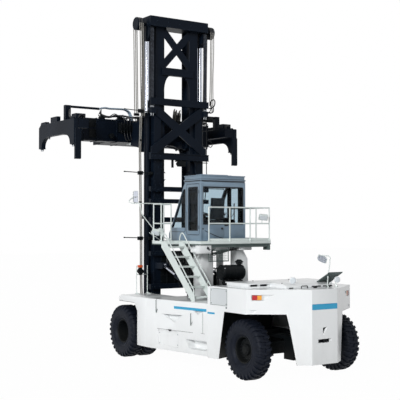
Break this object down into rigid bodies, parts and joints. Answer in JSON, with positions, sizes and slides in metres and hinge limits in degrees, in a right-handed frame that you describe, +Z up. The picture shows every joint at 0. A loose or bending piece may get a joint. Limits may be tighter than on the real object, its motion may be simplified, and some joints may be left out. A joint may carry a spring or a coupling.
{
  "type": "laden container lift truck with telescopic top-lift spreader",
  "caption": "Heavy lift truck with an upright two-stage mast, telescopic container spreader, raised cab, twin front wheels and steered rear wheels.",
  "frame": {"origin": "middle of the footprint, on the ground under the wheels", "axes": "+X to the truck's left, +Y to its rear (the spreader is at -Y), +Z up"},
  "size_m": [6, 10.3094, 10.12],
  "materials": {
    "body_white": "gloss enamel",
    "platform_grey": "satin enamel",
    "cab_paint": "satin enamel",
    "mast_paint": "satin enamel, greased running faces",
    "chrome_rod": "polished",
    "tyre_rubber": "dull rubber",
    "black_iron": "dull black paint",
    "seat_black": "grained vinyl",
    "clear_glass": "clear, faintly tinted"
  },
  "bodies": {
    "chassis": {"drive_axle": "black_iron", "steer_axle": "black_iron", "chassis_frame": "black_iron", "engine_block": "black_iron", "front_fender_left": "body_white", "front_fender_right": "body_white", "side_tank_left": "body_white", "side_tank_right": "body_white", "rear_body": "body_white", "engine_hood": "body_white", "tilt_bracket_left": "mast_paint", "tilt_bracket_right": "mast_paint", "cab_support": "body_white", "platform": "platform_grey", "rear_guard_rail": "platform_grey", "front_guard_rail": "platform_grey", "stairs": "platform_grey", "cab_shell": "cab_paint", "cab_glass": "clear_glass", "cab_roof": "cab_paint", "operator_seat": "seat_black", "control_console": "seat_black", "air_cleaner": "black_iron"},
    "front_wheel_left": {"front_tyres_left": "tyre_rubber", "front_wheel_left": "black_iron"},
    "front_wheel_right": {"front_tyres_right": "tyre_rubber", "front_wheel_right": "black_iron"},
    "knuckle_left": {"steer_knuckle_left": "black_iron"},
    "knuckle_right": {"steer_knuckle_right": "black_iron"},
    "rear_wheel_left": {"rear_tyre_left": "tyre_rubber", "rear_wheel_left": "black_iron"},
    "rear_wheel_right": {"rear_tyre_right": "tyre_rubber", "rear_wheel_right": "black_iron"},
    "outer_mast": {"outer_mast": "mast_paint", "lift_barrel_left": "mast_paint", "lift_barrel_right": "mast_paint"},
    "inner_mast": {"inner_mast": "mast_paint", "lift_rod_left": "chrome_rod", "lift_rod_right": "chrome_rod", "lift_chain_left": "black_iron", "lift_chain_right": "black_iron"},
    "carriage": {"carriage": "mast_paint", "spreader_frame": "mast_paint"},
    "spreader_beam_left": {"spreader_beam_left": "mast_paint"},
    "spreader_beam_right": {"spreader_beam_right": "mast_paint"},
    "twistlock_front_left": {"twistlock_front_left": "chrome_rod"},
    "twistlock_front_right": {"twistlock_front_right": "chrome_rod"},
    "twistlock_rear_left": {"twistlock_rear_left": "chrome_rod"},
    "twistlock_rear_right": {"twistlock_rear_right": "chrome_rod"},
    "tilt_barrel_left": {"tilt_barrel_left": "mast_paint"},
    "tilt_barrel_right": {"tilt_barrel_right": "mast_paint"},
    "tilt_rod_left": {"tilt_rod_left": "chrome_rod"},
    "tilt_rod_right": {"tilt_rod_right": "chrome_rod"},
    "cab_door": {"cab_door": "cab_paint", "door_glass": "clear_glass"}
  },
  "joints": [
    {"name": "front_wheel_left_spin", "type": "hinge", "parent": "chassis", "child": "front_wheel_left", "pos_m": [1.6635, -1.26525, 0.75], "axis": [1, 0, 0], "continuous": true},
    {"name": "front_wheel_right_spin", "type": "hinge", "parent": "chassis", "child": "front_wheel_right", "pos_m": [-1.6635, -1.26525, 0.75], "axis": [1, 0, 0], "continuous": true},
    {"name": "steer_left", "type": "hinge", "parent": "chassis", "child": "knuckle_left", "pos_m": [1.1, 3.93475, 0.75], "axis": [0, 0, 1], "range_deg": [-55, 55]},
    {"name": "steer_right", "type": "hinge", "parent": "chassis", "child": "knuckle_right", "pos_m": [-1.1, 3.93475, 0.75], "axis": [0, 0, 1], "range_deg": [-55.5, 55.5]},
    {"name": "rear_wheel_left_spin", "type": "hinge", "parent": "knuckle_left", "child": "rear_wheel_left", "pos_m": [1.435, 3.93475, 0.75], "axis": [1, 0, 0], "continuous": true},
    {"name": "rear_wheel_right_spin", "type": "hinge", "parent": "knuckle_right", "child": "rear_wheel_right", "pos_m": [-1.435, 3.93475, 0.75], "axis": [1, 0, 0], "continuous": true},
    {"name": "mast_tilt", "type": "hinge", "parent": "chassis", "child": "outer_mast", "pos_m": [0, -1.26525, 0.75], "axis": [1, 0, 0], "range_deg": [-6, 3]},
    {"name": "mast_lift", "type": "slide", "parent": "outer_mast", "child": "inner_mast", "axis": [0, 0, 1], "range_m": [-2, 1.6], "deforming": ["lift_chain_left", "lift_chain_right"]},
    {"name": "carriage_lift", "type": "slide", "parent": "inner_mast", "child": "carriage", "axis": [0, 0, 1], "range_m": [-2.002, 1.602]},
    {"name": "spreader_extend_left", "type": "slide", "parent": "carriage", "child": "spreader_beam_left", "axis": [1, 0, 0], "range_m": [0, 3.066]},
    {"name": "spreader_extend_right", "type": "slide", "parent": "carriage", "child": "spreader_beam_right", "axis": [-1, 0, 0], "range_m": [0, 3.068]},
    {"name": "twistlock_front_left_turn", "type": "hinge", "parent": "spreader_beam_left", "child": "twistlock_front_left", "pos_m": [2.9265, -5.05475, 6.3], "axis": [0, 0, 1], "range_deg": [0, 90]},
    {"name": "twistlock_rear_left_turn", "type": "hinge", "parent": "spreader_beam_left", "child": "twistlock_rear_left", "pos_m": [2.9265, -2.79575, 6.3], "axis": [0, 0, 1], "range_deg": [-0.5, 90.5]},
    {"name": "twistlock_front_right_turn", "type": "hinge", "parent": "spreader_beam_right", "child": "twistlock_front_right", "pos_m": [-2.9265, -5.05475, 6.3], "axis": [0, 0, 1], "range_deg": [-0.5, 90.5]},
    {"name": "twistlock_rear_right_turn", "type": "hinge", "parent": "spreader_beam_right", "child": "twistlock_rear_right", "pos_m": [-2.9265, -2.79575, 6.3], "axis": [0, 0, 1], "range_deg": [-0.5, 90.5]},
    {"name": "tilt_barrel_left_pin", "type": "hinge", "parent": "chassis", "child": "tilt_barrel_left", "pos_m": [0.72, 0.48475, 1.98], "axis": [1, 0, 0], "range_deg": [-1.87, 0.96]},
    {"name": "tilt_rod_left_slide", "type": "slide", "parent": "tilt_barrel_left", "child": "tilt_rod_left", "axis": [0, -0.9361, 0.3517], "range_m": [-0.1873, 0.0941]},
    {"name": "tilt_barrel_right_pin", "type": "hinge", "parent": "chassis", "child": "tilt_barrel_right", "pos_m": [-0.72, 0.48475, 1.98], "axis": [1, 0, 0], "range_deg": [-1.87, 0.96]},
    {"name": "tilt_rod_right_slide", "type": "slide", "parent": "tilt_barrel_right", "child": "tilt_rod_right", "axis": [0, -0.9361, 0.3517], "range_m": [-0.1873, 0.0941]},
    {"name": "cab_door_hinge", "type": "hinge", "parent": "chassis", "child": "cab_door", "pos_m": [0.795, 0.80475, 4.257], "axis": [0, 0, 1], "range_deg": [0, 90]}
  ],
  "couplings": [
    {"joint": "steer_right", "follows": "steer_left", "ratio": 1},
    {"joint": "carriage_lift", "follows": "mast_lift", "ratio": 1},
    {"joint": "spreader_extend_right", "follows": "spreader_extend_left", "ratio": 1},
    {"joint": "twistlock_rear_left_turn", "follows": "twistlock_front_left_turn", "ratio": 1},
    {"joint": "twistlock_front_right_turn", "follows": "twistlock_front_left_turn", "ratio": 1},
    {"joint": "twistlock_rear_right_turn", "follows": "twistlock_front_left_turn", "ratio": 1},
    {"joint": "tilt_barrel_left_pin", "follows": "mast_tilt", "ratio": 0.3026},
    {"joint": "tilt_rod_left_slide", "follows": "mast_tilt", "m_per_rad": 1.7788},
    {"joint": "tilt_barrel_right_pin", "follows": "mast_tilt", "ratio": 0.3026},
    {"joint": "tilt_rod_right_slide", "follows": "mast_tilt", "m_per_rad": 1.7788}
  ]
}
